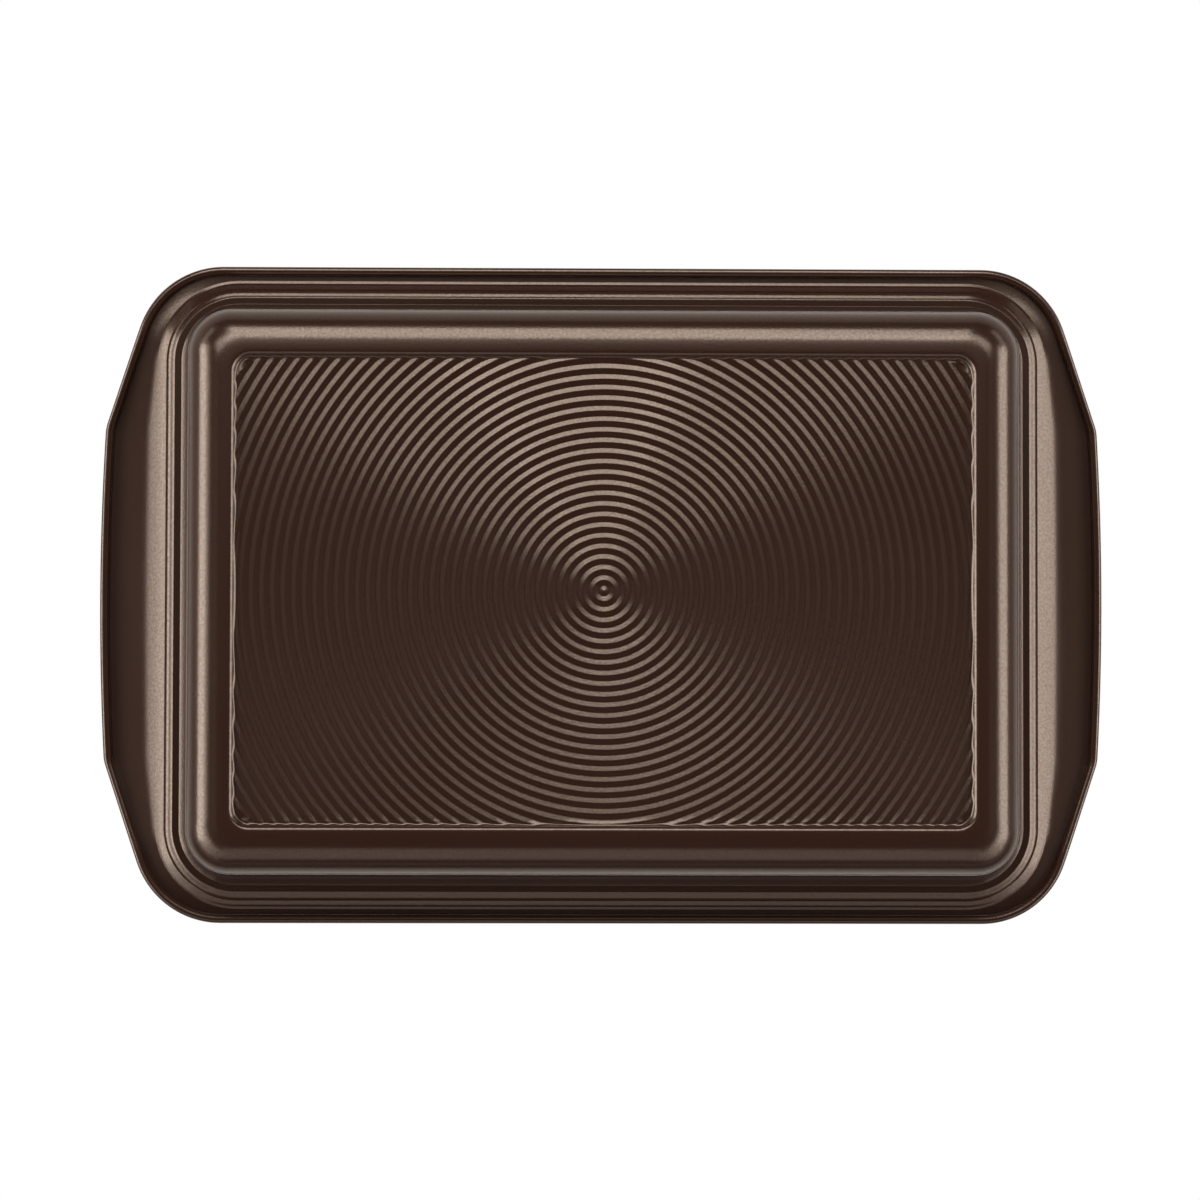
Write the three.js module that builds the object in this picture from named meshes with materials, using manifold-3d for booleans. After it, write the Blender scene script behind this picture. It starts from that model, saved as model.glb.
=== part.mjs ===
// Rectangular cake pan: a shell drawn from one steel sheet, and the steel wire inside its rolled rim.
// Millimetres, +Z up. The pan stands on its base with the open side up. The origin lies under the
// middle of the pan, in the plane that it stands on. The long sides run along X, and a handle reaches
// out from each short side.

import * as THREE from 'three';
import { mergeVertices } from 'three/addons/utils/BufferGeometryUtils.js';
import Module from 'manifold-3d';

// Sheet and walls
const SHEET = 0.7;
const BODY_LENGTH = 334.8; // outside of the walls, just above the base radius
const BODY_WIDTH = 227.2;
const BODY_CORNER = 18; // outside corner radius of the walls, seen from above
const BASE_RADIUS = 16.4; // outside radius from the base to the walls
const WALL_DRAFT = 2; // degrees
const LEDGE_LEVEL = 45; // height of the underside of the ledge round the mouth

// Base: a ribbed field raised above the flat border that the pan stands on
const BORDER = 2;
const FIELD_RISE = 1.9;
const FIELD_STEP_WIDTH = 2.6; // of the slope from the border up to the field
const FIELD_CORNER = 5.5;
const RING_PITCH = 4.23;
const RING_HEIGHT = 0.75;

// Flange: a ledge, an inner step, a narrow tread, an outer step, and a flat land beside the rim
const LEDGE_RADIUS = 4; // under the ledge, from the wall
const LEDGE = 2.9;
const STEP_RISE = 1.5;
const STEP_ANGLE = 40; // degrees
const STEP_FOOT_RADIUS = 4.2;
const STEP_HEAD_RADIUS = 0.5;
const TREAD = 0.4;
const OUTER_STEP_RISE = 2.6;
const OUTER_STEP_WIDTH = 4;
const LAND = 3.7;

// Rim, rolled down and under round a wire
const WIRE_DIAMETER = 1.5;
const WIRE_CLEARANCE = 0.35;
const CURL_ANGLE = 290; // degrees
const RIM_CORNER = 36.3; // outside corner radius of the rim, seen from above

// Handles: the flange widens at each short side and sweeps up from the tread
const HANDLE_REACH = 18; // beyond the flange of the long sides
const HANDLE_SPAN = 137; // between the two corners of a handle
const HANDLE_BOW = 2; // how far the middle of a handle stands out past its corners
const HANDLE_CORNER = 16;
const SHOULDER_ANGLE = 18.9; // degrees, of the slanted edge beside a handle
const SWEEP_ANGLE = 30.5; // degrees, where the sweep begins
const SWEEP_BLEND = 6; // extra width over which the outer step turns into the sweep

// How finely round forms are divided
const RING_SIDES = 24;
const FIELD_CORNER_STEPS = 4;
const BASE_STEPS = 4;
const LEDGE_STEPS = 2;
const SWEEP_STEPS = 3;
const CURL_STEPS = 7;
const WIRE_SIDES = 8;
const BOW_STEPS = 2;
const RIM_CORNER_STEPS = 4;

const radians = THREE.MathUtils.degToRad;
const draft = radians(WALL_DRAFT);
const halfSheet = SHEET / 2;
const rimRadius = WIRE_DIAMETER / 2 + WIRE_CLEARANCE + SHEET;
const curlRadius = rimRadius - halfSheet;

// The middle line of the sheet, drawn outward in straight stretches and arcs.
class SheetLine {
  constructor(out, up) {
    this.heading = 0;
    this.points = [new THREE.Vector2(out, up)];
  }

  get end() {
    return this.points.at(-1);
  }

  straight(length) {
    const step = new THREE.Vector2(Math.cos(this.heading), Math.sin(this.heading));
    this.points.push(this.end.clone().addScaledVector(step, length));
    return this;
  }

  // A positive turn bends the line up.
  arc(radius, turn, steps) {
    const turnPerStep = turn / steps;
    const chord = 2 * radius * Math.sin(Math.abs(turnPerStep) / 2);
    for (let i = 0; i < steps; i += 1) {
      this.heading += turnPerStep / 2;
      this.straight(chord);
      this.heading += turnPerStep / 2;
    }
    return this;
  }
}

// Border, wall, ledge and inner step, which run alike all round the pan.
function drawBodyLine() {
  const line = new SheetLine(FIELD_STEP_WIDTH, halfSheet);
  const baseBend = BASE_RADIUS - halfSheet;
  const ledgeBend = LEDGE_RADIUS + halfSheet;
  const wallTurn = Math.PI / 2 - draft;
  const wallRise = LEDGE_LEVEL - (baseBend + ledgeBend) * (1 - Math.sin(draft));
  line.straight(BORDER);
  line.arc(baseBend, wallTurn, BASE_STEPS);
  line.straight(wallRise / Math.cos(draft));
  line.arc(ledgeBend, -wallTurn, LEDGE_STEPS);
  line.straight(LEDGE);

  const step = radians(STEP_ANGLE);
  const roundedRise = (STEP_FOOT_RADIUS + STEP_HEAD_RADIUS) * (1 - Math.cos(step));
  line.arc(STEP_FOOT_RADIUS, step, 1);
  line.straight((STEP_RISE - roundedRise) / Math.sin(step));
  line.arc(STEP_HEAD_RADIUS, -step, 1);
  return line.points;
}

const bodyLine = drawBodyLine();
const stepTop = bodyLine.at(-1);

// Plan of the body: out = 0 is the edge of the ribbed field, at the head of the slope round it.
const bodyOut = FIELD_STEP_WIDTH + BORDER + BASE_RADIUS * Math.cos(draft);
const fieldHalf = new THREE.Vector2(BODY_LENGTH / 2 - bodyOut, BODY_WIDTH / 2 - bodyOut);
const plainWidth = TREAD + OUTER_STEP_WIDTH + LAND;
const plainRimOut = stepTop.x + plainWidth + rimRadius;

// Corner radius of the plan at a distance out from the field. Up to the wall it grows slowly, so the
// base border is widest at its corners. Past the wall the lines run parallel.
function planRadius(out) {
  if (out >= bodyOut) return BODY_CORNER + out - bodyOut;
  const share = (out - FIELD_STEP_WIDTH) / (bodyOut - FIELD_STEP_WIDTH);
  return THREE.MathUtils.lerp(FIELD_CORNER + FIELD_STEP_WIDTH, BODY_CORNER, share);
}

// Centre of the wall's corner arc, which the flange's lines share.
const cornerCentre = fieldHalf.clone().addScalar(bodyOut - BODY_CORNER);

// Outer edge of the rim in one quarter, from the middle of a handle to the long side.
function drawRimQuarter() {
  const edge = fieldHalf.clone().addScalar(plainRimOut);
  const handleCorner = new THREE.Vector2(edge.x + HANDLE_REACH - HANDLE_BOW, HANDLE_SPAN / 2);
  const bowRadius = (handleCorner.y ** 2 + HANDLE_BOW ** 2) / (2 * HANDLE_BOW);
  const shoulder = radians(SHOULDER_ANGLE);
  const bowEnd = Math.asin(handleCorner.y / bowRadius);
  const cornerCut = HANDLE_CORNER * Math.tan((shoulder - bowEnd) / 2);
  const bowTrim = bowEnd - cornerCut / bowRadius;
  const shoulderRun = new THREE.Vector2(-Math.sin(shoulder), Math.cos(shoulder));
  const shoulderStart = handleCorner.clone().addScaledVector(shoulderRun, cornerCut);

  // The rim's corner arc touches both the shoulder and the long edge.
  const arcY = edge.y - RIM_CORNER;
  const arcDrop = (arcY - handleCorner.y) * Math.sin(shoulder);
  const arcX = handleCorner.x - (RIM_CORNER + arcDrop) / Math.cos(shoulder);

  const bowCentre = edge.x + HANDLE_REACH - bowRadius;
  const bow = new THREE.EllipseCurve(bowCentre, 0, bowRadius, bowRadius, 0, bowTrim);
  const corner = new THREE.EllipseCurve(arcX, arcY, RIM_CORNER, RIM_CORNER, shoulder, Math.PI / 2);
  const sideMiddle = new THREE.Vector2(0, edge.y);
  return [...bow.getPoints(BOW_STEPS), shoulderStart, ...corner.getPoints(RIM_CORNER_STEPS), sideMiddle];
}

// Adds a point where the outline crosses a line of constant x or y.
function splitAt(points, axis, value) {
  const next = points.findIndex((point, i) => {
    const before = points[i - 1];
    return before && (before[axis] - value) * (point[axis] - value) < 0;
  });
  if (next < 0) return points;
  const [a, b] = [points[next - 1], points[next]];
  const crossing = a.clone().lerp(b, (value - a[axis]) / (b[axis] - a[axis]));
  return points.toSpliced(next, 0, crossing);
}

// A station is a vertical plane square to the wall. It passes through one point of the rim's outline,
// tells how far out the rim is there, and places any distance out in plan.
function makeStation(rimPoint) {
  if (rimPoint.y <= cornerCentre.y) {
    const share = rimPoint.y / cornerCentre.y;
    const place = (out) => {
      const y = fieldHalf.y + out - planRadius(out);
      return new THREE.Vector2(fieldHalf.x + out, share * y);
    };
    return { rimOut: rimPoint.x - fieldHalf.x, place };
  }
  if (rimPoint.x <= cornerCentre.x) {
    const share = rimPoint.x / cornerCentre.x;
    const place = (out) => {
      const x = fieldHalf.x + out - planRadius(out);
      return new THREE.Vector2(share * x, fieldHalf.y + out);
    };
    return { rimOut: rimPoint.y - fieldHalf.y, place };
  }
  const ray = rimPoint.clone().sub(cornerCentre);
  const direction = ray.clone().normalize();
  const place = (out) => {
    const radius = planRadius(out);
    return fieldHalf.clone().addScalar(out - radius).addScaledVector(direction, radius);
  };
  return { rimOut: ray.length() - BODY_CORNER + bodyOut, place };
}

// Stations all round the pan, anticlockwise from the middle of the handle at +X.
function makeStations() {
  const split = splitAt(splitAt(drawRimQuarter(), 'y', cornerCentre.y), 'x', cornerCentre.x);
  const quarter = split.map(makeStation);
  const mirror = (stations, sx, sy) => stations.map(({ rimOut, place }) => ({
    rimOut,
    place: (out) => place(out).multiply(new THREE.Vector2(sx, sy)),
  }));
  const backward = quarter.toReversed();
  return [
    ...quarter,
    ...mirror(backward.slice(1), -1, 1),
    ...mirror(quarter.slice(1), -1, -1),
    ...mirror(backward.slice(1, -1), 1, -1),
  ];
}

const stations = makeStations();

// Outer flange at one station. On the long sides it is the tread, the outer step and the land. Where it
// is wider it sweeps up and levels off at the rim.
function drawFlangeLine(rimOut) {
  const width = rimOut - rimRadius - stepTop.x;
  const stepEnd = TREAD + OUTER_STEP_WIDTH;
  const sweepShare = THREE.MathUtils.smoothstep(width - plainWidth, 0, SWEEP_BLEND);
  const sweepRise = (width * Math.tan(radians(SWEEP_ANGLE))) / 2;
  const runs = [TREAD, stepEnd];
  for (let i = 1; i <= SWEEP_STEPS; i += 1) {
    runs.push(THREE.MathUtils.lerp(stepEnd, width, i / SWEEP_STEPS));
  }
  return runs.map((run) => {
    const step = OUTER_STEP_RISE * THREE.MathUtils.clamp((run - TREAD) / OUTER_STEP_WIDTH, 0, 1);
    const sweep = sweepRise * (1 - (1 - run / width) ** 2);
    const rise = THREE.MathUtils.lerp(step, sweep, sweepShare);
    return new THREE.Vector2(stepTop.x + run, stepTop.y + rise);
  });
}

function drawCurlLine(start) {
  const line = new SheetLine(start.x, start.y);
  return line.arc(curlRadius, -radians(CURL_ANGLE), CURL_STEPS).points.slice(1);
}

// Gives a line its thickness: a closed outline along the underside and back along the top.
function thicken(line) {
  const normals = line.map((point, i) => {
    const before = line[Math.max(i - 1, 0)];
    const after = line[Math.min(i + 1, line.length - 1)];
    const inward = point.equals(before) ? after.clone().sub(point) : point.clone().sub(before);
    const outward = point.equals(after) ? inward.clone() : after.clone().sub(point);
    const along = inward.normalize().add(outward.normalize());
    const cosHalfTurn = along.length() / 2;
    const normal = new THREE.Vector2(-along.y, along.x).normalize();
    return normal.multiplyScalar(halfSheet / cosHalfTurn);
  });
  const underside = line.map((point, i) => point.clone().sub(normals[i]));
  const top = line.map((point, i) => point.clone().add(normals[i]));
  return [...underside, ...top.reverse()];
}

// Skins a closed outline, given for each station as (out, up) points, all the way round the pan.
function loftRound(outlineAt) {
  const rings = stations.map((station) => outlineAt(station).map((point) => {
    const plan = station.place(point.x);
    return [plan.x, plan.y, point.y];
  }));
  const size = rings[0].length;
  const index = [];
  rings.forEach((_, i) => {
    const here = i * size;
    const ahead = ((i + 1) % rings.length) * size;
    for (let j = 0; j < size; j += 1) {
      const k = (j + 1) % size;
      index.push(here + j, ahead + j, ahead + k);
      index.push(here + j, ahead + k, here + k);
    }
  });
  const geometry = new THREE.BufferGeometry();
  geometry.setAttribute('position', new THREE.Float32BufferAttribute(rings.flat(2), 3));
  geometry.setIndex(index);
  return geometry;
}

// A disc whose upper face is pressed into even rings, low at the centre.
function ringDiscGeometry(bottom, lift) {
  const halfPitch = RING_PITCH / 2;
  const count = Math.ceil(fieldHalf.length() / halfPitch) + 2;
  const profile = [new THREE.Vector2(0, bottom), new THREE.Vector2(count * halfPitch, bottom)];
  for (let i = count; i >= 0; i -= 1) {
    const side = i % 2 === 0 ? -1 : 1;
    const level = FIELD_RISE + (side * RING_HEIGHT) / 2;
    profile.push(new THREE.Vector2(i * halfPitch, level + lift));
  }
  return new THREE.LatheGeometry(profile, RING_SIDES).rotateX(Math.PI / 2);
}

// A block with the field's rounded outline. Its sides are the slope from the border up to the field,
// carried on past the tops of the rings.
function fieldBlockGeometry(lift) {
  const inset = (RING_HEIGHT * FIELD_STEP_WIDTH) / FIELD_RISE;
  const half = fieldHalf.clone().subScalar(inset);
  const radius = FIELD_CORNER - inset;
  const centre = half.clone().subScalar(radius);
  const shape = new THREE.Shape();
  shape.absarc(centre.x, centre.y, radius, 0, Math.PI / 2);
  shape.absarc(-centre.x, centre.y, radius, Math.PI / 2, Math.PI);
  shape.absarc(-centre.x, -centre.y, radius, Math.PI, 1.5 * Math.PI);
  shape.absarc(centre.x, -centre.y, radius, 1.5 * Math.PI, 2 * Math.PI);
  const height = FIELD_RISE + RING_HEIGHT + 2 * SHEET;
  const block = new THREE.ExtrudeGeometry(shape, {
    depth: height,
    bevelThickness: height,
    bevelSize: (height * FIELD_STEP_WIDTH) / FIELD_RISE,
    bevelSegments: 1,
    curveSegments: FIELD_CORNER_STEPS,
  });
  return block.translate(0, 0, FIELD_RISE + RING_HEIGHT + lift - 2 * height);
}

const wasm = await Module();
wasm.setup();

function toSolid(geometry) {
  geometry.deleteAttribute('normal');
  geometry.deleteAttribute('uv');
  const merged = mergeVertices(geometry);
  const triangles = [];
  for (let i = 0; i < merged.index.count; i += 3) {
    const [a, b, c] = merged.index.array.slice(i, i + 3);
    if (a !== b && b !== c && c !== a) triangles.push(a, b, c);
  }
  return new wasm.Manifold(new wasm.Mesh({
    numProp: 3,
    vertProperties: merged.attributes.position.array,
    triVerts: Uint32Array.from(triangles),
  }));
}

function toGeometry(solid) {
  const mesh = solid.getMesh();
  const geometry = new THREE.BufferGeometry();
  geometry.setAttribute('position', new THREE.BufferAttribute(mesh.vertProperties, 3));
  geometry.setIndex(new THREE.BufferAttribute(mesh.triVerts, 1));
  geometry.computeVertexNormals();
  return geometry;
}

// The field and the slope round it, as a sheet pressed between two solids.
function ribbedField() {
  const flank = Math.atan(RING_HEIGHT / (RING_PITCH / 2));
  const slope = Math.atan(FIELD_RISE / FIELD_STEP_WIDTH);
  const overTop = toSolid(fieldBlockGeometry(SHEET / Math.cos(slope)));
  const top = toSolid(ringDiscGeometry(0, SHEET / Math.cos(flank))).intersect(overTop);
  const underside = toSolid(ringDiscGeometry(-SHEET, 0)).intersect(toSolid(fieldBlockGeometry(0)));
  return top.subtract(underside);
}

function panShell() {
  const surround = loftRound(({ rimOut }) => {
    const flangeLine = drawFlangeLine(rimOut);
    return thicken([...bodyLine, ...flangeLine, ...drawCurlLine(flangeLine.at(-1))]);
  });
  const coated = new THREE.MeshStandardMaterial({ color: 0x4d3529, roughness: 0.35, metalness: 0.6 });
  const mesh = new THREE.Mesh(toGeometry(toSolid(surround).add(ribbedField())), coated);
  mesh.name = 'pan_shell';
  return mesh;
}

function rimWire() {
  const geometry = loftRound(({ rimOut }) => {
    const rimStart = drawFlangeLine(rimOut).at(-1);
    const radius = WIRE_DIAMETER / 2;
    const circle = new THREE.EllipseCurve(rimStart.x, rimStart.y - curlRadius, radius, radius);
    return circle.getPoints(WIRE_SIDES).slice(1);
  });
  geometry.computeVertexNormals();
  const steel = new THREE.MeshStandardMaterial({ color: 0x9b9a96, roughness: 0.4, metalness: 1 });
  const mesh = new THREE.Mesh(geometry, steel);
  mesh.name = 'rim_wire';
  return mesh;
}

const pan = new THREE.Group();
pan.add(panShell(), rimWire());

export default pan;
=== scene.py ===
"""Looks of a rectangular cake pan, drawn from one steel sheet with a brown metallic coating.

The pan stands upright, and the main camera looks up at its underside. Sizes of the pan are in
millimetres, as in its CAD solids, and the meshes made from them are in metres.
"""

import bpy
import numpy as np
from mathutils import Euler, Matrix, Vector


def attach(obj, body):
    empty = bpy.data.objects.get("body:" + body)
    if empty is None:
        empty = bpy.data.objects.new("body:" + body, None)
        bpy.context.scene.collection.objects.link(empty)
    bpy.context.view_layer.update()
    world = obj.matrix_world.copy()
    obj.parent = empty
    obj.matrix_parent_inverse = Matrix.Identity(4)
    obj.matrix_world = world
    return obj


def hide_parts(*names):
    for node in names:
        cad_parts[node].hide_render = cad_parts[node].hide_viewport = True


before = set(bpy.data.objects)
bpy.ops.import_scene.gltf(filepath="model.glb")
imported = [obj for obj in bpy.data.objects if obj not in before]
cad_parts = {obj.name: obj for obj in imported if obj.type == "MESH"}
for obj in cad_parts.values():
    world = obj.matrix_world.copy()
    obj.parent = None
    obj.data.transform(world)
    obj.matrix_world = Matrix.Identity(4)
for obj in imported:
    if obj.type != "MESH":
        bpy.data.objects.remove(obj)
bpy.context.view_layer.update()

MM = 0.001

# Sheet and walls
SHEET = 0.7
BODY_LENGTH = 334.8
BODY_WIDTH = 227.2
BODY_CORNER = 18
BASE_RADIUS = 16.4
WALL_DRAFT = np.radians(2)
LEDGE_LEVEL = 45

# Base: a ringed field raised above the flat border that the pan stands on
BORDER = 2
FIELD_RISE = 1.9
FIELD_STEP_WIDTH = 2.6
FIELD_CORNER = 5.5
FIELD_BLEND = 0.5  # rounding where the rings run out in the slope round the field
RING_PITCH = 4.23
RING_HEIGHT = 0.75
RING_TIP = 0.06  # share of the pitch that is flattened on each side of a tip

# Slope round the field: its tilt in degrees at distances out from the field's edge
FIELD_STEP_TILTS = [
    (-3, 46), (0.3, 48), (0.55, 50), (0.95, 50), (1.25, 48), (1.5, 44), (1.75, 39), (2, 34), (2.25, 27),
    (2.45, 18), (2.7, 8), (3, 3), (3.6, 0),
]

# Flange: a ledge, an inner step, a narrow tread, an outer step, and a flat land beside the rim
LEDGE_RADIUS = 4
LEDGE = 2.9
FLARE_ANGLE = np.radians(46)
FLARE_LEVEL = 41.3  # where the bend at the top of the wall ends and a flare runs on under the ledge
STEP_RISE = 1.5
STEP_ANGLE = np.radians(40)
STEP_FOOT_RADIUS = 4.2
STEP_HEAD_RADIUS = 0.5
TREAD = 0.4
OUTER_STEP_RISE = 2.6
OUTER_STEP_WIDTH = 4
LAND = 3.7

# Tilt of the sheet in degrees at distances out from the crease between the two steps. Its slopes are
# then scaled so that the sheet rises as far as the CAD solid does.
INNER_STEP_TILTS = [
    (-10, 46), (-7.7, 41), (-6.7, 39), (-6.1, 38), (-5.8, -2.5), (-4, -2.5), (-3.35, -1), (-3.2, 31),
    (-2.8, 31), (-2.5, 28), (-2.1, 25), (-1.75, 25), (-1.4, 29), (-1.1, 33), (-0.8, 38), (-0.5, 42),
    (-0.2, 52),
]
OUTER_STEP_TILTS = [(0.2, 52), (0.5, 36), (1.9, 37), (2.4, 42), (2.9, 40), (3.1, 26), (4, 24), (4.3, 0)]

# Rim, rolled down and under round a wire
WIRE_DIAMETER = 1.5
WIRE_CLEARANCE = 0.35
CURL_ANGLE = np.radians(290)
RIM_CORNER = 36.3

# Handles: the flange widens at each short side and sweeps up from the tread
HANDLE_REACH = 18
HANDLE_SPAN = 137
HANDLE_BOW = 2
HANDLE_CORNER = 16
SHOULDER_ANGLE = np.radians(18.9)
SWEEP_ANGLE = np.radians(30.5)
SWEEP_BLEND = 6

# Share of the sweep's full slope at shares of its width. It is then scaled so that the sweep rises as
# far as the CAD solid does.
SWEEP_SHAPE = [(0, 0.94), (0.295, 0.77), (0.375, 0.56), (0.7, 0.33), (1, 0)]

# How finely the meshes are divided
RING_SIDES = 128
BAND_SPACING = 1
BAND_OUTS = [-0.7, -0.4, -0.2, 0, 0.2, 0.4, 0.7, 1, 1.3, 1.6, 1.9, 2.2, 2.5, 2.8, 3.2]
TOP_BAND_SPACING = 1.6
TOP_BAND_OUTS = [-0.7, -0.3, 0, 0.4, 0.9, 1.4, 2, 2.6, 3.2]
FIELD_CUT = -0.9  # where the rings' polar mesh ends and the band round the field begins
LAND_SHARES = [0.06, 0.115, 0.155, 0.195, 0.235, 0.32, 0.5, 0.75, 1]  # between the outer step and the rim
LOFT_START = 3.8  # in the flat border, where the walls' mesh begins
SLOPE_SAMPLES = 400  # along the slope round the field
KNOT_STEPS = 2  # between neighbouring tilts of the flange
BASE_STEPS = 13
WALL_STEPS = 3
LEDGE_STEPS = 5
CURL_STEPS = 14
WIRE_SIDES = 12
BOW_STEPS = 10
HANDLE_CORNER_STEPS = 4
SHOULDER_STEPS = 8
SHOULDER_END_STEPS = 6
RIM_CORNER_STEPS = 22
CORNER_END_STEPS = 2
SIDE_STEPS = 9

# Greys of the sky towards -Y and towards +Y, over its height from 0 straight down to 1 straight up
FAR_SKY = [
    (0, 0.03), (0.488, 0.03), (0.494, 0.22), (0.57, 0.28), (0.671, 0.4), (0.75, 0.5), (0.854, 0.67),
    (0.933, 0.85), (0.977, 1),
]
NEAR_SKY = [
    (0, 0.03), (0.488, 0.03), (0.494, 0.16), (0.562, 0.16), (0.575, 0.02), (0.65, 0.03), (0.727, 0.38),
    (0.808, 0.55), (0.924, 0.85), (0.977, 1),
]
SKY_BLEND = 0.5  # how far to each side of the middle one sky turns into the other

# Coating and wire
COAT_DARK = (0.049, 0.0178, 0.0102)
COAT_LIGHT = (0.079, 0.029, 0.0168)
FLAKE_SCALE = 1100
FLAKE_METALLIC = (0.05, 0.45)
FLAKE_DEPTH = 0.1
CLOUD_SCALE = 14
CLOUD_ROUGHNESS = (0.19, 0.22)
WIRE_DARK = (0.5, 0.5, 0.48)
WIRE_LIGHT = (0.68, 0.68, 0.66)
STREAK_SCALE = 3000
WIRE_ROUGHNESS = (0.3, 0.45)
NOISE_MIDDLE = (0.3, 0.7)  # between these values lies most of a noise

# Floor: half its side in metres, and its gap under the pan in millimetres
FLOOR_HALF = 6
FLOOR_GAP = 0.3
FLOOR_COLOUR = (0.82, 0.82, 0.81)

# Lamps that repeat: their azimuths in degrees, with the radiance where it changes
CORNER_FADES = [(32, 1.5), (44, 0.9), (56, 0.5), (124, 0.45), (136, 0.8), (148, 1.4)]
FAR_CORNERS = [-37, -143]

# All lamps: azimuth and polar angle in degrees, distance, width and height in metres, radiance
SOFTBOXES = [
    ("far_left", -131, 39.4, 5, (1.7, 1.55), 1.75),
    ("far_middle", -96, 46.3, 5, (2.8, 2.8), 2.6),
    ("far_right", -56, 40, 5, (2.4, 1.42), 1.6),
    ("far_glow", -95, 24, 5, (3, 0.9), 0.3),
    ("axis_glow", -90, 14.5, 5, (3.6, 1.58), 0.11),
    ("left_below", 180, 74.2, 3, (2.8, 1.09), 3.5),
    ("left_lower", 180, 60.4, 3, (2.8, 0.37), 1.7),
    ("left_glow", 180, 33, 5, (3.2, 1.2), 0.09),
    ("left_edge", 180, 53.5, 3, (2.4, 0.37), 0.4),
    ("right_below", 0, 70.7, 3, (2.8, 1.47), 2.65),
    ("right_glow", 0, 33, 5, (3.2, 1.2), 0.09),
    ("right_edge", 0, 53.5, 3, (2.4, 0.37), 0.3),
    *[("corner_fade", azimuth, 70.7, 3, (0.6, 1.47), radiance) for azimuth, radiance in CORNER_FADES],
    *[("far_corner", azimuth, 79, 3, (1.4, 0.63), 0.7) for azimuth in FAR_CORNERS],
    ("near_below", 90, 59.7, 2.4, (2.4, 1.44), 0.36),
    ("above", -120, 171, 1.7, (0.9, 0.9), 3.5),
]

# Camera, under the pan: its lens, its place and its turn from straight up in radians
CAMERA_LENS = 108.6
CAMERA_PLACE = (-24.67, 54.59, -1439.1)
CAMERA_TURN = (-0.0353, -0.0160, 0.0028)

half_sheet = SHEET / 2
rim_radius = WIRE_DIAMETER / 2 + WIRE_CLEARANCE + SHEET
curl_radius = rim_radius - half_sheet
body_out = FIELD_STEP_WIDTH + BORDER + BASE_RADIUS * np.cos(WALL_DRAFT)
field_half = np.array([BODY_LENGTH, BODY_WIDTH]) / 2 - body_out
corner_centre = field_half + body_out - BODY_CORNER


class SheetLine:
    """The middle line of the sheet in (out, up), drawn outward in straight stretches and arcs."""

    def __init__(self, out, up):
        self.heading = 0.0
        self.points = [np.array([out, up])]

    def straight(self, length, steps=1):
        step = np.array([np.cos(self.heading), np.sin(self.heading)]) * length / steps
        for _ in range(steps):
            self.points.append(self.points[-1] + step)
        return self

    def arc(self, radius, turn, steps):
        """A positive turn bends the line up."""
        chord = 2 * radius * np.sin(abs(turn / steps) / 2)
        for _ in range(steps):
            self.heading += turn / steps / 2
            self.straight(chord)
            self.heading += turn / steps / 2
        return self


base_bend = BASE_RADIUS - half_sheet
ledge_bend = LEDGE_RADIUS + half_sheet


def wall_line():
    """The border, the wall and the bend at its top."""
    wall_turn = np.pi / 2 - WALL_DRAFT
    bends_rise = base_bend * (1 - np.sin(WALL_DRAFT))
    bends_rise += ledge_bend * (np.cos(FLARE_ANGLE) - np.sin(WALL_DRAFT))
    line = SheetLine(LOFT_START, half_sheet)
    line.straight(FIELD_STEP_WIDTH + BORDER - LOFT_START)
    line.arc(base_bend, wall_turn, BASE_STEPS)
    line.straight((FLARE_LEVEL - bends_rise) / np.cos(WALL_DRAFT), WALL_STEPS)
    line.arc(ledge_bend, FLARE_ANGLE - wall_turn, LEDGE_STEPS)
    return line.points


def crease_point():
    """The crease between the two steps of the flange, where the CAD solid has its narrow tread."""
    bends_run = (base_bend + ledge_bend) * np.cos(WALL_DRAFT)
    wall_rise = LEDGE_LEVEL - (base_bend + ledge_bend) * (1 - np.sin(WALL_DRAFT))
    step_rise = (STEP_FOOT_RADIUS + STEP_HEAD_RADIUS) * (1 - np.cos(STEP_ANGLE))
    step_run = (STEP_FOOT_RADIUS + STEP_HEAD_RADIUS) * np.sin(STEP_ANGLE)
    step_run += (STEP_RISE - step_rise) / np.tan(STEP_ANGLE)
    out = FIELD_STEP_WIDTH + BORDER + bends_run + wall_rise * np.tan(WALL_DRAFT) + LEDGE + step_run
    return np.array([out, half_sheet + LEDGE_LEVEL + STEP_RISE])


body_points = wall_line()
flare_start = body_points[-1]
crease = crease_point()
plain_width = TREAD + OUTER_STEP_WIDTH + LAND
plain_rim_out = crease[0] + plain_width + rim_radius


def plan_radius(out):
    """Corner radius of the plan. It grows slowly up to the wall, and past it the lines run parallel."""
    share = (out - FIELD_STEP_WIDTH) / (body_out - FIELD_STEP_WIDTH)
    inner = FIELD_CORNER + FIELD_STEP_WIDTH
    below_wall = inner + (BODY_CORNER - inner) * share
    return np.where(out < body_out, below_wall, BODY_CORNER + out - body_out)


def place(stations, out, radius):
    """Plan points of stations at distances out from the field's edge, with corners of that radius."""
    out = np.broadcast_to(out, (len(stations), np.shape(out)[-1]))[..., None]
    radius = np.broadcast_to(radius, out.shape[:2])[..., None]
    anchor = stations[:, None, 0:2]
    toward = stations[:, None, 2:4]
    return (field_half + out - radius) * anchor + radius * toward


def station(point, centre):
    """A vertical plane square to the wall.

    Its corner centre comes first, as shares, then its direction, then how far out the point lies.
    """
    x, y = point
    if y <= centre[1]:
        return [1, y / centre[1], 1, 0, x - field_half[0]]
    if x <= centre[0]:
        return [x / centre[0], 1, 0, 1, y - field_half[1]]
    ray = np.array(point) - centre
    length = np.hypot(*ray)
    return [1, 1, *(ray / length), length - BODY_CORNER + body_out]


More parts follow.
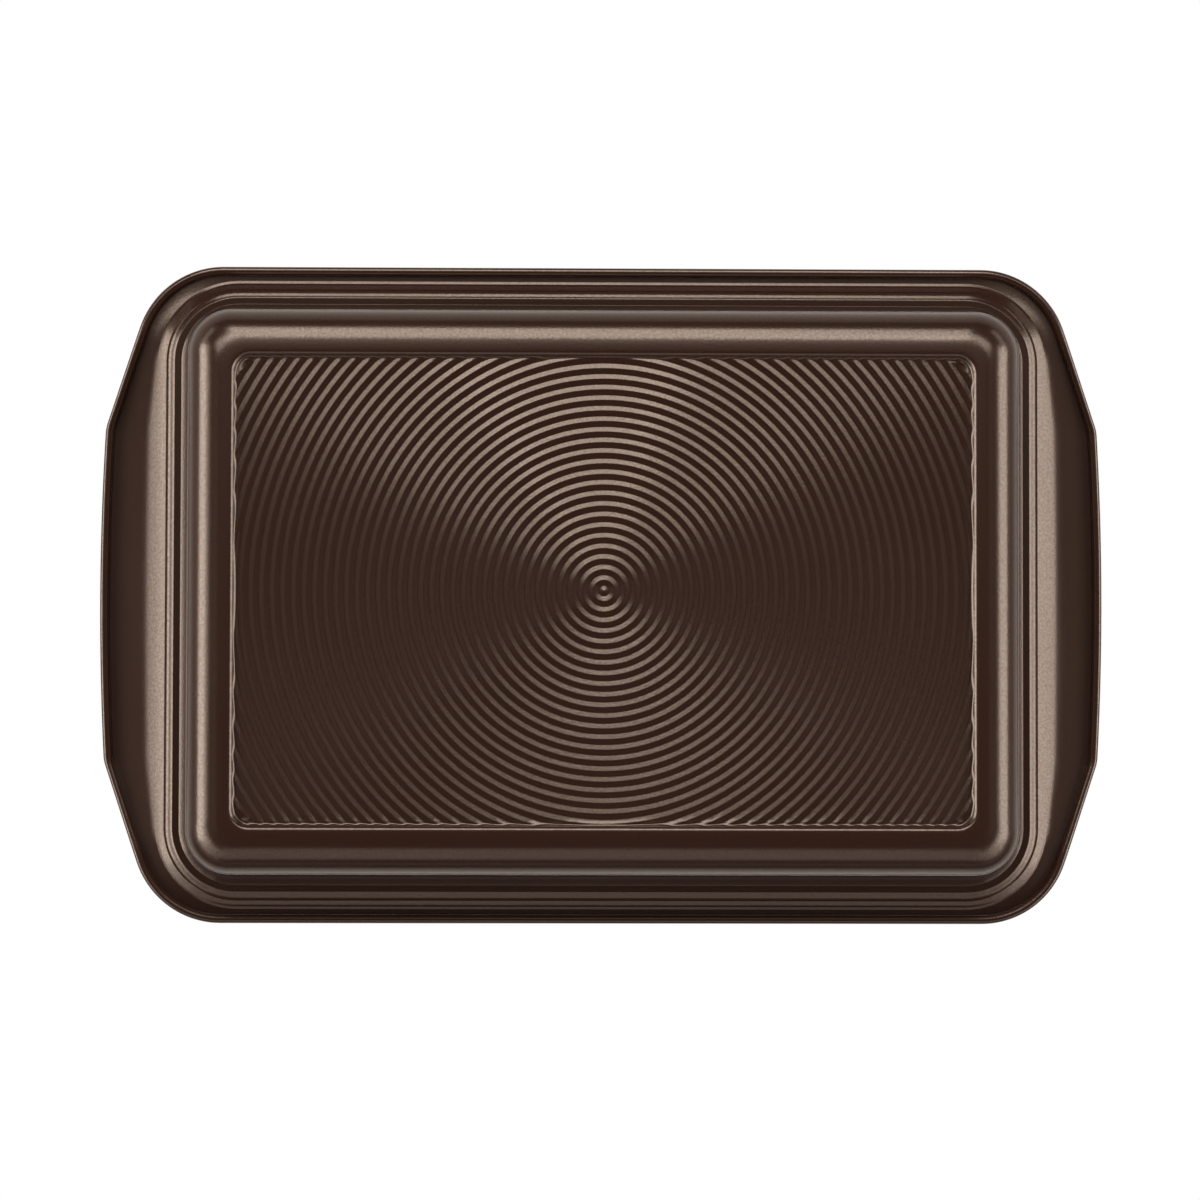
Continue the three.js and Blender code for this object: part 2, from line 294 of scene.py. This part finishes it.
def all_round(quarter):
    """Repeats the stations of one quarter, from the +X end to the +Y side, all the way round."""
    quarter = np.array(quarter)
    back = quarter[::-1]
    return np.concatenate([
        quarter,
        back[1:] * [-1, 1, -1, 1, 1],
        quarter[1:] * [-1, -1, -1, -1, 1],
        back[1:-1] * [1, -1, 1, -1, 1],
    ])


def arc_points(centre, radius, start, end, steps):
    angles = np.linspace(start, end, steps + 1)
    return np.array(centre) + radius * np.column_stack([np.cos(angles), np.sin(angles)])


def line_points(start, end, steps):
    return np.linspace(start, end, steps + 1)


def rim_stations():
    """Stations through the rim's outer edge: a bowed handle, a slanted shoulder, a corner, a side."""
    edge = field_half + plain_rim_out
    handle = np.array([edge[0] + HANDLE_REACH - HANDLE_BOW, HANDLE_SPAN / 2])
    bow_radius = (handle[1] ** 2 + HANDLE_BOW ** 2) / (2 * HANDLE_BOW)
    bow_end = np.arcsin(handle[1] / bow_radius)
    corner_cut = HANDLE_CORNER * np.tan((SHOULDER_ANGLE - bow_end) / 2)
    along = np.array([-np.sin(SHOULDER_ANGLE), np.cos(SHOULDER_ANGLE)])
    square = np.array([np.cos(SHOULDER_ANGLE), np.sin(SHOULDER_ANGLE)])
    shoulder_start = handle + along * corner_cut
    shoulder_mid = handle + along * (corner_centre[1] - handle[1]) / along[1]
    arc_y = edge[1] - RIM_CORNER
    arc_x = handle[0] - (RIM_CORNER + (arc_y - handle[1]) * square[1]) / square[0]
    arc_start = np.array([arc_x, arc_y]) + RIM_CORNER * square
    bow_centre = [edge[0] + HANDLE_REACH - bow_radius, 0]
    handle_centre = shoulder_start - HANDLE_CORNER * square
    side_end = [corner_centre[0], edge[1]]
    quarter = np.concatenate([
        arc_points(bow_centre, bow_radius, 0, bow_end - corner_cut / bow_radius, BOW_STEPS),
        arc_points(handle_centre, HANDLE_CORNER, bow_end, SHOULDER_ANGLE, HANDLE_CORNER_STEPS)[1:],
        line_points(shoulder_start, shoulder_mid, SHOULDER_STEPS)[1:],
        line_points(shoulder_mid, arc_start, SHOULDER_END_STEPS)[1:],
        arc_points([arc_x, arc_y], RIM_CORNER, SHOULDER_ANGLE, np.pi / 2, RIM_CORNER_STEPS)[1:],
        line_points([arc_x, edge[1]], side_end, CORNER_END_STEPS)[1:],
        line_points(side_end, [0, edge[1]], SIDE_STEPS)[1:],
    ])
    return all_round([station(point, corner_centre) for point in quarter])


def band_stations(spacing):
    """Evenly spaced stations round the ringed field."""
    centre = field_half - FIELD_CORNER
    count = np.ceil(centre / spacing).astype(int)
    corner_steps = int(np.ceil(FIELD_CORNER * np.pi / 2 / spacing))
    quarter = np.concatenate([
        line_points([field_half[0], 0], [field_half[0], centre[1]], count[1]),
        arc_points(centre, FIELD_CORNER, 0, np.pi / 2, corner_steps)[1:],
        line_points([centre[0], field_half[1]], [0, field_half[1]], count[0])[1:],
    ])
    return all_round([station(point, centre) for point in quarter])


def climb(outs, slopes):
    """Height gained along a line, from its slope at each distance out."""
    gains = np.diff(outs) * (slopes[1:] + slopes[:-1]) / 2
    return np.concatenate([[0], np.cumsum(gains)])


def slope_at(outs, tilts):
    runs, degrees = np.array(tilts).T
    return np.tan(np.radians(np.interp(outs, runs, degrees)))


def between(knots, steps):
    """Each stretch between neighbouring knots, divided evenly."""
    places = np.arange(len(knots) - 1, step=1 / steps)
    return np.append(np.interp(places, np.arange(len(knots)), knots), knots[-1])


def inner_step_points():
    """Flare, ledge and inner step, up to the crease."""
    flare_run = flare_start[0] - crease[0]
    knots = [run for run, _ in INNER_STEP_TILTS if run > flare_run]
    outs = between(np.array([flare_run, *knots, 0]), KNOT_STEPS)
    rise = climb(outs, slope_at(outs, INNER_STEP_TILTS))
    rise *= (crease[1] - flare_start[1]) / rise[-1]
    return np.column_stack([crease[0] + outs, flare_start[1] + rise])


def outer_flange_points(rim_out):
    """From the crease to the rim: the outer step and the land, or a sweep where the flange is wider."""
    width = rim_out - rim_radius - crease[0]
    share = np.clip((width - plain_width) / SWEEP_BLEND, 0, 1)
    share = share * share * (3 - 2 * share)
    knots = np.array([0, *[run for run, _ in OUTER_STEP_TILTS]])
    land = knots[-1] + (width - knots[-1]) * np.array(LAND_SHARES)
    outs = np.concatenate([between(knots, KNOT_STEPS), land])
    sweep_start = OUTER_STEP_TILTS[0][0]
    sweep_full = OUTER_STEP_TILTS[1][0]
    sweep = np.tan(SWEEP_ANGLE) * np.interp(outs / width, *np.array(SWEEP_SHAPE).T)
    sweep *= np.clip((outs - sweep_start) / (sweep_full - sweep_start), 0, 1)
    sweep_rise = width * np.tan(SWEEP_ANGLE) / 2
    step_gain = climb(outs, slope_at(outs, OUTER_STEP_TILTS))
    sweep_gain = climb(outs, sweep)
    step_gain *= OUTER_STEP_RISE / step_gain[-1]
    sweep_gain *= sweep_rise / sweep_gain[-1]
    rise = step_gain + (sweep_gain - step_gain) * share
    return np.column_stack([crease[0] + outs, crease[1] + rise])


def curl_points(start):
    return SheetLine(*start).arc(curl_radius, -CURL_ANGLE, CURL_STEPS).points[1:]


def sheet_profile(rim_out):
    """The middle line at one station, from the border to the free edge inside the rim."""
    flange = outer_flange_points(rim_out)
    return np.concatenate([body_points, inner_step_points()[1:], flange[1:], curl_points(flange[-1])])


def offset(line, distance):
    """The line moved square to itself, to the left of its run."""
    steps = np.diff(line, axis=0)
    steps /= np.linalg.norm(steps, axis=1, keepdims=True)
    along = np.concatenate([steps[:1], steps[:-1] + steps[1:], steps[-1:]])
    along /= np.linalg.norm(along, axis=1, keepdims=True)
    return line + distance * np.column_stack([-along[:, 1], along[:, 0]])


class MeshBuilder:
    """Collects points and faces. Faces are given as they are seen from above."""

    def __init__(self):
        self.points = []
        self.faces = []
        self.count = 0

    def add_points(self, points):
        points = np.asarray(points).reshape(-1, 3)
        ids = np.arange(self.count, self.count + len(points))
        self.points.append(points)
        self.count += len(points)
        return ids

    def add_faces(self, faces, upward):
        self.faces.append(faces if upward else faces[:, ::-1])

    def add_grid(self, rows, upward):
        """Quads between closed loops of points, given as one row of ids for each station."""
        ahead = np.roll(rows, -1, axis=0)
        quads = np.stack([rows[:, :-1], rows[:, 1:], ahead[:, 1:], ahead[:, :-1]], axis=-1)
        self.add_faces(quads.reshape(-1, 4), upward)

    def add_bridge(self, inner, outer, upward):
        """Triangles between two closed loops of ids that lie one round the other."""
        points = np.concatenate(self.points)
        angle = np.arctan2(points[:, 1] * field_half[0], points[:, 0] * field_half[1])
        inner = inner[np.argsort(angle[inner])]
        outer = outer[np.argsort(angle[outer])]
        order = np.argsort(angle[np.concatenate([inner, outer])], kind="stable")
        is_inner = order < len(inner)
        i = np.cumsum(is_inner) - 1
        j = np.cumsum(~is_inner) - 1
        on_inner = np.column_stack([inner[i - 1], outer[j], inner[i]])
        on_outer = np.column_stack([outer[j - 1], outer[j], inner[i]])
        self.add_faces(np.where(is_inner[:, None], on_inner, on_outer), upward)

    def normals(self, points):
        """Smooth normals, in which larger faces count for more."""
        total = np.zeros_like(points)
        for block in self.faces:
            corners = points[block]
            area = np.cross(corners[:, 2] - corners[:, 0], corners[:, -1] - corners[:, 1])
            for ids in block.T:
                np.add.at(total, ids, area)
        return total / np.linalg.norm(total, axis=1, keepdims=True)

    def to_object(self, name):
        points = np.concatenate(self.points)
        mesh = bpy.data.meshes.new(name)
        faces = [face for block in self.faces for face in block.tolist()]
        mesh.from_pydata((points * MM).tolist(), [], faces)
        mesh.normals_split_custom_set_from_vertices(self.normals(points).tolist())
        piece = bpy.data.objects.new(name, mesh)
        bpy.context.scene.collection.objects.link(piece)
        return piece


def field_distance(x, y):
    """Distance out from the edge of the ringed field."""
    past = np.abs(np.stack([x, y], axis=-1)) - (field_half - FIELD_CORNER)
    outside = np.hypot(*np.moveaxis(np.maximum(past, 0), -1, 0))
    inside = np.minimum(past.max(axis=-1), 0)
    return outside + inside - FIELD_CORNER


def ring_level(radius):
    """Height of the rings' underside: an even zigzag, low at the centre, with flattened tips."""
    turns = radius / RING_PITCH
    zigzag = 4 * np.abs(turns - np.round(turns)) - 1
    tip = 1 - 4 * RING_TIP
    return FIELD_RISE + RING_HEIGHT / 2 * np.clip(zigzag, -tip, tip)


def step_level(out):
    """Height of the slope round the field, which falls to nothing at the border."""
    outs = np.linspace(FIELD_STEP_TILTS[0][0], FIELD_STEP_TILTS[-1][0], SLOPE_SAMPLES)
    fall = climb(outs, slope_at(outs, FIELD_STEP_TILTS))
    return np.interp(out, outs, fall[-1] - fall)


def field_level(x, y):
    rings = ring_level(np.hypot(x, y))
    step = step_level(field_distance(x, y))
    overlap = np.maximum(FIELD_BLEND - np.abs(rings - step), 0) / FIELD_BLEND
    return np.minimum(rings, step) - overlap ** 2 * FIELD_BLEND / 4


def ring_grid():
    """Polar mesh of the rings in plan: points and triangles, with the centre first."""
    count = int(np.ceil(np.hypot(*field_half) / RING_PITCH)) + 1
    shares = np.array([RING_TIP, 0.5 - RING_TIP, 0.5 + RING_TIP, 1 - RING_TIP])
    radii = (np.arange(count)[:, None] + shares).ravel() * RING_PITCH
    angles = np.arange(RING_SIDES) * 2 * np.pi / RING_SIDES
    directions = np.column_stack([np.cos(angles), np.sin(angles)])
    points = np.concatenate([[[0, 0]], (directions[:, None] * radii[:, None]).reshape(-1, 2)])
    rows = 1 + np.arange(RING_SIDES * len(radii)).reshape(RING_SIDES, -1)
    ahead = np.roll(rows, -1, axis=0)
    fan = np.column_stack([np.zeros(RING_SIDES, int), rows[:, 0], ahead[:, 0]])
    lower = np.stack([rows[:, :-1], rows[:, 1:], ahead[:, 1:]], axis=-1).reshape(-1, 3)
    upper = np.stack([rows[:, :-1], ahead[:, 1:], ahead[:, :-1]], axis=-1).reshape(-1, 3)
    return points, np.concatenate([fan, lower, upper])


def clip(points, triangles, inside):
    """Cuts triangles where the value at their points changes sign, and keeps the positive side.

    Returns the points and those on the cut, the triangles kept, and the ids of the points on the cut.
    """
    keep = inside > 0
    kept = keep[triangles].sum(axis=1)
    whole = triangles[kept == 3]
    lone = triangles[(kept == 1) | (kept == 2)]
    alone = keep[lone] == (keep[lone].sum(axis=1) == 1)[:, None]
    turn = (np.argmax(alone, axis=1)[:, None] + np.arange(3)) % 3
    tip, left, right = np.take_along_axis(lone, turn, axis=1).T
    edges = np.sort(np.concatenate([np.column_stack([tip, left]), np.column_stack([tip, right])]), axis=1)
    unique, where = np.unique(edges, axis=0, return_inverse=True)
    a, b = unique.T
    share = (inside[a] / (inside[a] - inside[b]))[:, None]
    cut = points[a] + (points[b] - points[a]) * share
    ids = len(points) + np.arange(len(cut))
    cut_left, cut_right = ids[where.ravel()].reshape(2, -1)
    tip_in = keep[tip]
    corners = np.column_stack([tip, cut_left, cut_right])[tip_in]
    near = np.column_stack([cut_left, left, right])[~tip_in]
    far = np.column_stack([cut_left, right, cut_right])[~tip_in]
    return np.concatenate([points, cut]), np.concatenate([whole, corners, near, far]), ids


def add_field(builder, upward):
    """The ringed field, and the band round it down to the border. Returns the band's outer loop."""
    lift = SHEET if upward else 0
    points, triangles = ring_grid()
    points, triangles, cut = clip(points, triangles, FIELD_CUT - field_distance(*points.T))
    used = np.unique(triangles)
    new_id = np.full(len(points), -1)
    level = field_level(*points[used].T) + lift
    new_id[used] = builder.add_points(np.column_stack([points[used], level]))
    builder.add_faces(new_id[triangles], upward)

    stations = band_stations(TOP_BAND_SPACING if upward else BAND_SPACING)
    outs = np.array(TOP_BAND_OUTS if upward else BAND_OUTS)
    plan = place(stations, outs, FIELD_CORNER + outs)
    level = field_level(plan[..., 0], plan[..., 1]) + lift
    rows = builder.add_points(np.dstack([plan, level])).reshape(level.shape)
    builder.add_grid(rows, upward)
    builder.add_bridge(new_id[cut], rows[:, 0], upward)
    return rows[:, -1]


def add_surround(builder, upward):
    """Border, walls, flange and rim. Returns the first and the last loop."""
    stations = rim_stations()
    side = half_sheet if upward else -half_sheet
    profiles = np.array([offset(sheet_profile(rim_out), side) for rim_out in stations[:, 4]])
    outs = profiles[..., 0]
    plan = place(stations, outs, plan_radius(outs))
    rows = builder.add_points(np.dstack([plan, profiles[..., 1]])).reshape(outs.shape)
    builder.add_grid(rows, upward)
    return rows[:, 0], rows[:, -1]


def pan_body():
    """The whole drawn sheet: its underside, its top, and the free edge inside the rim that joins them."""
    builder = MeshBuilder()
    free_edges = []
    for upward in (False, True):
        field_loop = add_field(builder, upward)
        first, last = add_surround(builder, upward)
        builder.add_bridge(field_loop, first, upward)
        free_edges.append(last)
    builder.add_grid(np.column_stack(free_edges), False)
    return builder.to_object("pan_body")


def rim_wire():
    """The round wire inside the curl, all the way round the rim."""
    stations = rim_stations()
    starts = np.array([outer_flange_points(rim_out)[-1] for rim_out in stations[:, 4]])
    circle = arc_points([0, 0], WIRE_DIAMETER / 2, 0, 2 * np.pi, WIRE_SIDES)[:-1]
    section = starts[:, None] - [0, curl_radius] + circle
    plan = place(stations, section[..., 0], plan_radius(section[..., 0]))
    builder = MeshBuilder()
    rows = builder.add_points(np.dstack([plan, section[..., 1]])).reshape(section.shape[:2])
    builder.add_grid(np.column_stack([rows, rows[:, :1]]), False)
    return builder.to_object("rim_wire_round")


def new_material(name):
    material = bpy.data.materials.new(name)
    material.use_nodes = True
    return material, material.node_tree.nodes, material.node_tree.links


def noise_node(nodes, links, coordinates, scale, detail):
    noise = nodes.new("ShaderNodeTexNoise")
    noise.inputs["Scale"].default_value = scale
    noise.inputs["Detail"].default_value = detail
    links.new(coordinates, noise.inputs["Vector"])
    return noise.outputs["Fac"]


def range_node(nodes, links, value, low, high):
    """Spreads the middle of a noise over a range."""
    spread = nodes.new("ShaderNodeMapRange")
    spread.inputs["From Min"].default_value = NOISE_MIDDLE[0]
    spread.inputs["From Max"].default_value = NOISE_MIDDLE[1]
    spread.inputs["To Min"].default_value = low
    spread.inputs["To Max"].default_value = high
    links.new(value, spread.inputs["Value"])
    return spread.outputs["Result"]


def mix_node(nodes, links, share, dark, light):
    mix = nodes.new("ShaderNodeMix")
    mix.data_type = "RGBA"
    mix.inputs["A"].default_value = (*dark, 1)
    mix.inputs["B"].default_value = (*light, 1)
    links.new(share, mix.inputs["Factor"])
    return mix.outputs["Result"]


def coated_steel():
    """Satin brown coating with a fine metallic flake."""
    material, nodes, links = new_material("coated_steel")
    shader = nodes["Principled BSDF"]
    shader.inputs["IOR"].default_value = 2.37
    shader.inputs["Sheen Weight"].default_value = 1
    shader.inputs["Sheen Roughness"].default_value = 0.2
    shader.inputs["Sheen Tint"].default_value = (0.85, 0.92, 1, 1)
    shader.inputs["Specular Tint"].default_value = (1, 0.85, 0.7, 1)
    place_on_pan = nodes.new("ShaderNodeTexCoord").outputs["Object"]
    flake = noise_node(nodes, links, place_on_pan, FLAKE_SCALE, 4)
    cloud = noise_node(nodes, links, place_on_pan, CLOUD_SCALE, 3)
    colour = mix_node(nodes, links, range_node(nodes, links, flake, 0, 1), COAT_DARK, COAT_LIGHT)
    links.new(colour, shader.inputs["Base Color"])
    links.new(range_node(nodes, links, flake, *FLAKE_METALLIC), shader.inputs["Metallic"])
    links.new(range_node(nodes, links, cloud, *CLOUD_ROUGHNESS), shader.inputs["Roughness"])
    bump = nodes.new("ShaderNodeBump")
    bump.inputs["Strength"].default_value = 0.3
    bump.inputs["Distance"].default_value = FLAKE_DEPTH * MM
    links.new(flake, bump.inputs["Height"])
    links.new(bump.outputs["Normal"], shader.inputs["Normal"])
    return material


def wire_steel():
    """Drawn wire with fine streaks."""
    material, nodes, links = new_material("wire_steel")
    shader = nodes["Principled BSDF"]
    shader.inputs["Metallic"].default_value = 1
    place_on_wire = nodes.new("ShaderNodeTexCoord").outputs["Object"]
    streak = noise_node(nodes, links, place_on_wire, STREAK_SCALE, 3)
    colour = mix_node(nodes, links, streak, WIRE_DARK, WIRE_LIGHT)
    links.new(colour, shader.inputs["Base Color"])
    links.new(range_node(nodes, links, streak, *WIRE_ROUGHNESS), shader.inputs["Roughness"])
    return material


def floor_material():
    """Plain pale floor. It is open to a camera under it, which looks up at the pan."""
    material, nodes, links = new_material("floor")
    nodes.remove(nodes["Principled BSDF"])
    pale = nodes.new("ShaderNodeBsdfDiffuse")
    pale.inputs["Color"].default_value = (*FLOOR_COLOUR, 1)
    open_side = nodes.new("ShaderNodeBsdfTransparent")
    mix = nodes.new("ShaderNodeMixShader")
    links.new(nodes.new("ShaderNodeNewGeometry").outputs["Backfacing"], mix.inputs["Fac"])
    links.new(pale.outputs["BSDF"], mix.inputs[1])
    links.new(open_side.outputs["BSDF"], mix.inputs[2])
    links.new(mix.outputs["Shader"], nodes["Material Output"].inputs["Surface"])
    return material


def make_floor():
    mesh = bpy.data.meshes.new("floor")
    sides = [(-1, -1), (1, -1), (1, 1), (-1, 1)]
    mesh.from_pydata([(x * FLOOR_HALF, y * FLOOR_HALF, 0) for x, y in sides], [], [range(4)])
    mesh.materials.append(floor_material())
    floor = bpy.data.objects.new("floor", mesh)
    floor.location.z = -FLOOR_GAP * MM
    floor.visible_shadow = False
    floor.visible_glossy = False
    floor.visible_diffuse = False
    bpy.context.scene.collection.objects.link(floor)


def height_ramp(nodes, links, height, levels):
    """Greys over the height of a direction, from 0 straight down to 1 straight up."""
    ramp = nodes.new("ShaderNodeValToRGB")
    links.new(height, ramp.inputs["Fac"])
    while len(ramp.color_ramp.elements) < len(levels):
        ramp.color_ramp.elements.new(0.5)
    for element, (where, grey) in zip(ramp.color_ramp.elements, levels):
        element.position = where
        element.color = (grey, grey, grey, 1)
    return ramp.outputs["Color"]


def make_world():
    """White overhead and dim below the horizon. Low down it is paler towards -Y than towards +Y."""
    world = bpy.data.worlds.new("studio")
    bpy.context.scene.world = world
    world.use_nodes = True
    nodes, links = world.node_tree.nodes, world.node_tree.links
    split = nodes.new("ShaderNodeSeparateXYZ")
    links.new(nodes.new("ShaderNodeTexCoord").outputs["Generated"], split.inputs["Vector"])
    height = nodes.new("ShaderNodeMapRange")
    height.inputs["From Min"].default_value = -1
    links.new(split.outputs["Z"], height.inputs["Value"])
    toward_near = nodes.new("ShaderNodeMapRange")
    toward_near.inputs["From Min"].default_value = -SKY_BLEND
    toward_near.inputs["From Max"].default_value = SKY_BLEND
    links.new(split.outputs["Y"], toward_near.inputs["Value"])
    mix = nodes.new("ShaderNodeMix")
    mix.data_type = "RGBA"
    links.new(toward_near.outputs["Result"], mix.inputs["Factor"])
    links.new(height_ramp(nodes, links, height.outputs["Result"], FAR_SKY), mix.inputs["A"])
    links.new(height_ramp(nodes, links, height.outputs["Result"], NEAR_SKY), mix.inputs["B"])
    links.new(mix.outputs["Result"], nodes["Background"].inputs["Color"])


def make_softbox(name, azimuth, polar, distance, size, radiance):
    """A rectangular lamp that faces the pan. Polar is its angle from straight down, azimuth from +X."""
    a, p = np.radians([azimuth, polar])
    direction = Vector((np.sin(p) * np.cos(a), np.sin(p) * np.sin(a), -np.cos(p)))
    lamp = bpy.data.lights.new(name, "AREA")
    lamp.shape = "RECTANGLE"
    lamp.size, lamp.size_y = size
    lamp.energy = radiance * np.pi * size[0] * size[1]
    holder = bpy.data.objects.new(name, lamp)
    holder.location = direction * distance
    holder.rotation_euler = direction.to_track_quat("Z", "Y").to_euler()
    bpy.context.scene.collection.objects.link(holder)


def make_camera():
    """Under the pan, looking up, with +X to the right and -Y at the top of the picture."""
    data = bpy.data.cameras.new("camera")
    data.sensor_width = 36
    data.lens = CAMERA_LENS
    camera = bpy.data.objects.new("camera", data)
    turn = Euler(CAMERA_TURN).to_matrix().transposed()
    looking_up = Matrix.Rotation(np.pi, 3, "X")
    camera.matrix_world = (turn @ looking_up).to_4x4()
    camera.location = Vector(CAMERA_PLACE) * MM
    bpy.context.scene.collection.objects.link(camera)
    bpy.context.scene.camera = camera


pan = pan_body()
pan.data.materials.append(coated_steel())
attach(pan, "root")
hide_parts("pan_shell")

wire = rim_wire()
wire.data.materials.append(wire_steel())
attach(wire, "root")
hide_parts("rim_wire")

make_floor()
make_world()
for softbox in SOFTBOXES:
    make_softbox(*softbox)
make_camera()
bpy.context.scene.view_settings.view_transform = "Standard"
